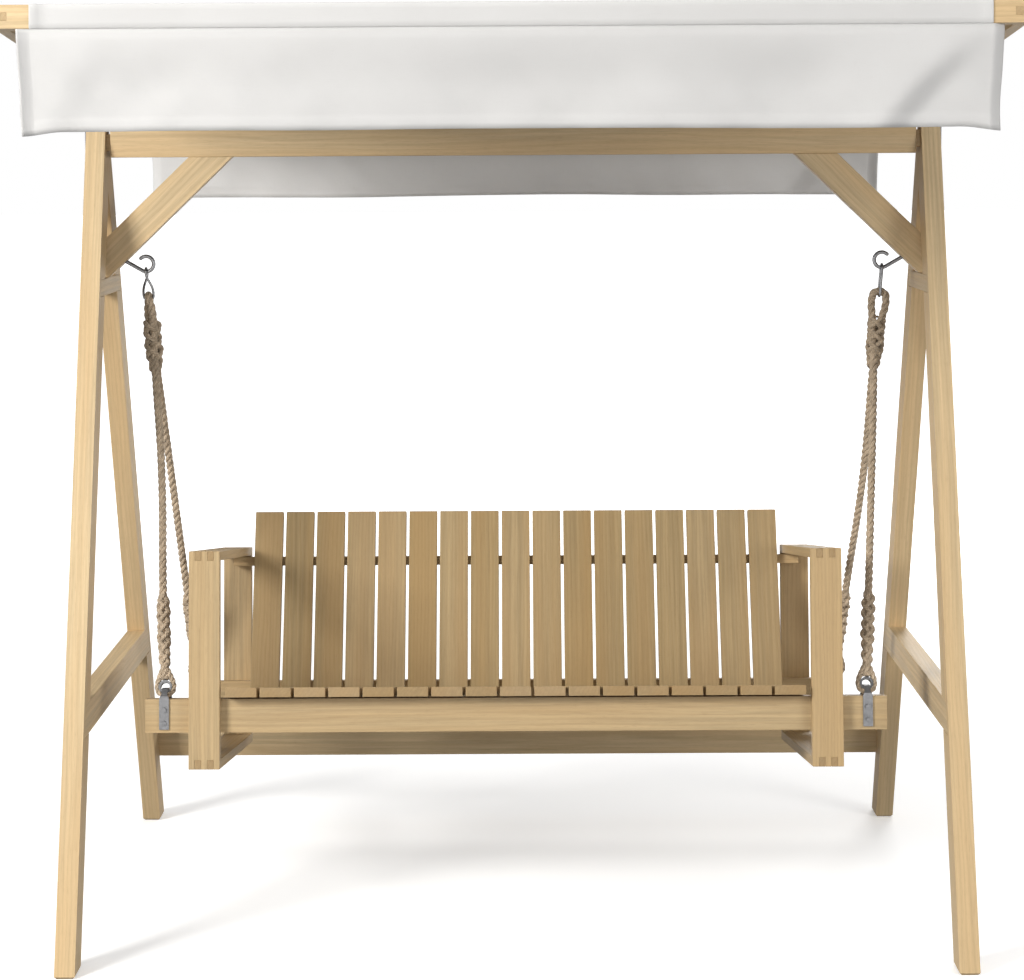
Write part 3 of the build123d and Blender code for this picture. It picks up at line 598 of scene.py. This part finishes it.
for side, route in (("right", RIGHT_ROPE), ("left", LEFT_ROPE)):
    line = spline_line(route)
    strands = Strands()
    laid_rope(strands, line, ROPE_D, ROPE_LAY, 3.0 if side == "right" else 8.0)
    rope = strands.build("rope_laid_" + side, hemp("hemp_rope_" + side, HEMP, 1.0))
    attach(rope, "swing")
    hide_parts("rope_" + side)
    for place, ends in (("front", line), ("rear", line[::-1])):
        centre = middle("thimble_" + place + "_" + side)
        run = (ends[12] - ends[0]).normalized()
        across = Vector((1, 0, 0))
        across = (across - run * across.dot(run)).normalized()
        eye_line = spline_line([centre + across * a + run * b for a, b in EYE], 0.002)
        strands = Strands()
        laid_rope(strands, eye_line, EYE_D, EYE_LAY, 5.0)
        near_end = ends[: len(ends) // 4]
        neck = [p for p in near_end if SPLICE_START < (p - centre).dot(run) < SPLICE_START + SPLICE_LEN]
        braid(strands, neck, lower_splice_profile, *LOWER_BRAID)
        end_name = place + "_" + side
        eye = strands.build("rope_eye_" + end_name, hemp("hemp_eye_" + end_name, HEMP, 2.0))
        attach(eye, "swing")
        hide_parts("rope_end_" + end_name)
    sign = 1 if side == "right" else -1
    body = spline_line([(sign * x, 0, z) for x, z in TOP_SPLICE])
    strands = Strands()
    braid(strands, body, top_splice_profile, *TOP_BRAID, 0.4)
    top = strands.build("rope_top_splice_" + side, hemp("hemp_top_" + side, HEMP, 4.0))
    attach(top, "swing")
    round(total(line), 3)


# ================================================================ canopy cloth
PIVOT = Vector(JOINTS["canopy_tilt"]["pos_m"])
RAIL_HALF = 0.855
RAIL_T = 0.028
RAIL_H = 0.048
MIDDLE_FRONT, MIDDLE_BACK = 0.032, 0.077      # faces of the middle rail, behind the pivot
SLEEVE_HALF = 0.960
NEAR = 0.9 * MM      # canvas centre off the wood
TOP_HEM = 0.0155     # side hem of the top cloth
FLAP_HEM = 0.024     # bottom hem of a flap
FLAP_SIDE_HEM = 0.024       # share of the flap's half width
FLAP_LOW_HALF = 0.978       # half width along the bottom edge
FLAP_OUT_MOST = 0.020       # furthest a fold stands out from the rail's face


def canopy_point(x, u, w):
    c, s = math.cos(CANOPY_TILT), math.sin(CANOPY_TILT)
    return PIVOT + Vector((x, u * c + w * s, -u * s + w * c))


def grid(name, columns, rows, place, material, thick=CANVAS):
    """A sheet from place(i, j) with a solid thickness."""
    vertices = [place(i, j) for j in range(rows) for i in range(columns)]
    faces = []
    for j in range(rows - 1):
        for i in range(columns - 1):
            a = j * columns + i
            faces.append((a, a + 1, a + columns + 1, a + columns))
    obj = make_object(name, vertices, faces, material)
    solid = obj.modifiers.new("thickness", "SOLIDIFY")
    solid.thickness = thick
    solid.offset = 0.0
    return obj


def smooth(value):
    value = min(1.0, max(0.0, value))
    return value * value * (3 - 2 * value)


# top cloth: under the front rail, up its face, over to the rear rail and under that
half = RAIL_H / 2 + NEAR
front = RAIL_HALF + NEAR
profile = [(-(RAIL_HALF - RAIL_T + 0.003), -half), (-(front - 0.010), -half), (-(front - 0.003), -half)]
profile += [(-front, -half + 0.003), (-front, -0.012), (-front, 0.012), (-front, half - 0.003)]
profile += [(-(front - 0.003), half), (-(front - 0.010), half), (-(front - 0.030), half)]
STATIONS = 34
profile += [(-(front - 0.030) + (2 * front - 0.060) * i / STATIONS, half) for i in range(1, STATIONS)]
profile += [(-u, w) for u, w in profile[:10]][::-1]
cloth_x = [0.0, 0.0015, 0.0145, TOP_HEM]
inner = [TOP_HEM + (SLEEVE_HALF - TOP_HEM) * i / 40 for i in range(1, 41)]
edges = cloth_x + inner
columns_x = [e - SLEEVE_HALF for e in edges] + [SLEEVE_HALF - e for e in edges[:-1]][::-1]


def top_place(i, j):
    u, w = profile[j]
    x = columns_x[i]
    if w > half - 0.001 and abs(u) < front - 0.02:
        if u < MIDDLE_FRONT:
            span = (u + front) / (front + MIDDLE_FRONT)
        else:
            span = (u - MIDDLE_BACK) / (front - MIDDLE_BACK)
        span = min(1.0, max(0.0, span))
        dip = math.sin(math.pi * span) ** 2
        edge = abs(x) / SLEEVE_HALF
        w -= dip * (0.006 + 0.010 * edge ** 6)
        w -= 0.0035 * math.sin(math.pi * (u + front) / (2 * front))
        x *= 1 - 0.012 * dip
        w += 0.0012 * noise.noise(Vector((x * 5, u * 7, 0.0))) * dip
    hem = SLEEVE_HALF - abs(columns_x[i]) < 0.015
    if hem:
        w += 0.0006 if w > 0 else 0.0
    point = canopy_point(x, u, w)
    if hem and abs(profile[j][0]) >= front - 0.001:
        point.y += math.copysign(0.0007, u)
    return point


top = grid("canopy_cloth", len(columns_x), len(profile), top_place, canvas("canvas_top", CLOTH, 0.0))
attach(top, "canopy")
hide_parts("canopy_top_cloth", "canopy_sleeve_bands")


def flap(name, node, end, seed, painted_light_scale=1.0):
    """A hanging flap with turned side hems and a bottom hem."""
    low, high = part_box(node)
    top_z = high.z + 0.001
    drop = high.z - low.z
    y0 = low.y + 0.0008 if end < 0 else high.y - 0.0008
    top_half, low_half = high.x, FLAP_LOW_HALF
    side_hem = FLAP_SIDE_HEM
    steps = [0.0, 0.004, 0.010, 0.018, side_hem, side_hem + 0.002]
    inner = [steps[-1] + (1.0 - steps[-1]) * i / 90 for i in range(1, 91)]
    across = [s - 1.0 for s in steps + inner] + [1.0 - s for s in (steps + inner)[:-1]][::-1]
    hem = FLAP_HEM / drop
    down = [i / 22 * (1 - hem - 0.004) for i in range(23)] + [1 - hem, 1 - hem * 0.5, 1.0]

    def place(i, j):
        s, v = across[i], down[j]
        reach = top_half + (low_half - top_half) * v
        x = s * reach
        x += 0.0035 * noise.noise(Vector((seed, v * 2.5, math.copysign(3.0, s)))) * abs(s) ** 8 * v
        length = drop + 0.009 * smooth((abs(x) - 0.90) / 0.085) - 0.003 * smooth((0.5 - abs(x)) / 0.4)
        length += 0.0022 * noise.noise(Vector((x * 3.1, seed, 0.4)))
        z = top_z - v * length
        wave = 0.0150 * noise.noise(Vector((x * 2.6, seed + 2.0, v * 0.5)))
        wave += 0.0062 * noise.noise(Vector((x * 7.5 + v * 1.2, seed + 5.0, v * 0.8)))
        wave += 0.0066 * noise.noise(Vector((x * 15.0 - v * 2.6, seed + 9.0, v * 0.6)))
        out = wave * smooth(v * 1.15) - 0.013 * smooth(v * 1.6)
        line = (x - 0.945) + v * 0.190
        out += 0.0240 * (1 - smooth(line / 0.085 + 0.5)) * smooth(v * 1.6) * smooth((x - 0.60) / 0.2)
        line = (-x - 0.905) + (1 - v) * 0.10
        out += 0.0090 * smooth(line / 0.09 + 0.5) * smooth(v * 1.6) * smooth((-x - 0.60) / 0.2)
        out += 0.0020 * smooth(v * 3.0)
        turn = max(0.0, 1 - (1 - abs(s)) / side_hem)
        out += (0.0100 if s < 0 else -0.0135) * turn ** 1.3
        out -= 0.0035 * (1 - smooth(v / 0.10))
        if v > 1 - hem - 0.001 or 1 - abs(s) < side_hem + 0.001:
            out += 0.00025
        return Vector((x, y0 + end * min(out, FLAP_OUT_MOST), z))

    # the last argument lightens the canvas colour: painted light
    obj = grid(name, len(across), len(down), place, canvas("canvas_" + name, CLOTH, seed, painted_light_scale))
    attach(obj, "canopy")
    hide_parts(node)


flap("canopy_front_flap", "canopy_front_valance", -1, 1.3)
flap("canopy_rear_flap", "canopy_rear_valance", 1, 6.1, REAR_CLOTH_PAINTED_LIGHT)
cloth_len = sum(math.dist(a, b) for a, b in zip(profile, profile[1:]))

# ================================================================ camera
CAMERA_AT = (0.0193, -5.678, 1.783)
LENS = 84.375               # on a 36 mm wide sensor
SHIFT_UP = -0.09765625      # share of the picture's width
PAN, TIP, ROLL = 0.00442, math.pi / 2 - 0.10086, -0.006
camera_data = bpy.data.cameras.new("camera")
camera_data.sensor_width = 36.0
camera_data.sensor_fit = "HORIZONTAL"
camera_data.lens = LENS
camera_data.shift_y = SHIFT_UP
camera = bpy.data.objects.new("camera", camera_data)
turn = Matrix.Rotation(PAN, 4, "Z") @ Matrix.Rotation(TIP, 4, "X")
camera.matrix_world = Matrix.Translation(CAMERA_AT) @ turn @ Matrix.Rotation(ROLL, 4, "Z")
scene.collection.objects.link(camera)
scene.camera = camera

# ================================================================ studio
studio = Nodes("studio_white")
studio.set("Base Color", (0.93, 0.93, 0.93, 1.0))
studio.set("Roughness", 0.9)
studio.set("Specular IOR Level", 0.1)
# painted light: the floor glows, faintly near the bench and rising to plain white far from it
studio.set("Emission Color", (1.0, 1.0, 1.0, 1.0))
away = studio.vector("LENGTH", studio.add("TexCoord").outputs["Object"])
studio.put(studio.ramp(away, 2.4, 7.5, 0.30, 1.05), studio.shader.inputs["Emission Strength"])
FAR = 60.0
floor_corners = [(-FAR, -FAR, 0.0), (FAR, -FAR, 0.0), (FAR, FAR, 0.0), (-FAR, FAR, 0.0)]
floor = make_object("studio_floor", floor_corners, [(0, 1, 2, 3)], studio.material)
floor.visible_diffuse = False


def area_light(name, at, aim, size, power, colour=(1, 1, 1)):
    data = bpy.data.lights.new(name, "AREA")
    data.shape = "RECTANGLE"
    data.size, data.size_y = size
    data.energy = power
    data.color = colour
    light = bpy.data.objects.new(name, data)
    light.location = at
    light.rotation_euler = (Vector(aim) - Vector(at)).to_track_quat("-Z", "Y").to_euler()
    light.visible_camera = False
    scene.collection.objects.link(light)


area_light("key", (-4.4, -4.0, 3.3), (0.0, 0, 0.9), (1.8, 2.0), 385, (1.0, 0.985, 0.955))
area_light("fill", (4.6, -3.9, 2.2), (0, 0, 0.9), (2.2, 3.0), 128, (1.0, 0.99, 0.97))
area_light("front", (0, -7.0, 1.3), (0, 0, 0.8), (3.5, 1.6), 66)
area_light("above", (0, -0.5, 6.0), (0, 0, 2.0), (3.5, 3.0), 70)
area_light("rear", (2.6, 6.0, 3.0), (0, 0, 0.9), (2.4, 2.4), 190)

world = bpy.data.worlds.new("studio")
world.use_nodes = True
tree = world.node_tree
# soft light, stronger from above; plain white where the camera sees past the floor
sky = tree.nodes.new("ShaderNodeTexCoord")
parts_of = tree.nodes.new("ShaderNodeSeparateXYZ")
fade = tree.nodes.new("ShaderNodeMapRange")
tree.links.new(sky.outputs["Generated"], parts_of.inputs[0])
tree.links.new(parts_of.outputs[2], fade.inputs["Value"])
fade.inputs["From Min"].default_value = -0.6
fade.inputs["From Max"].default_value = 0.7
fade.inputs["To Min"].default_value = 0.12
fade.inputs["To Max"].default_value = 0.42
seen = tree.nodes.new("ShaderNodeMath")
seen.operation = "MAXIMUM"
tree.links.new(fade.outputs["Result"], seen.inputs[0])
tree.links.new(tree.nodes.new("ShaderNodeLightPath").outputs["Is Camera Ray"], seen.inputs[1])
tree.links.new(seen.outputs[0], tree.nodes["Background"].inputs["Strength"])
tree.nodes["Background"].inputs["Color"].default_value = (1.0, 1.0, 1.0, 1.0)
scene.world = world
scene.view_settings.view_transform = "Standard"
scene.view_settings.look = "None"
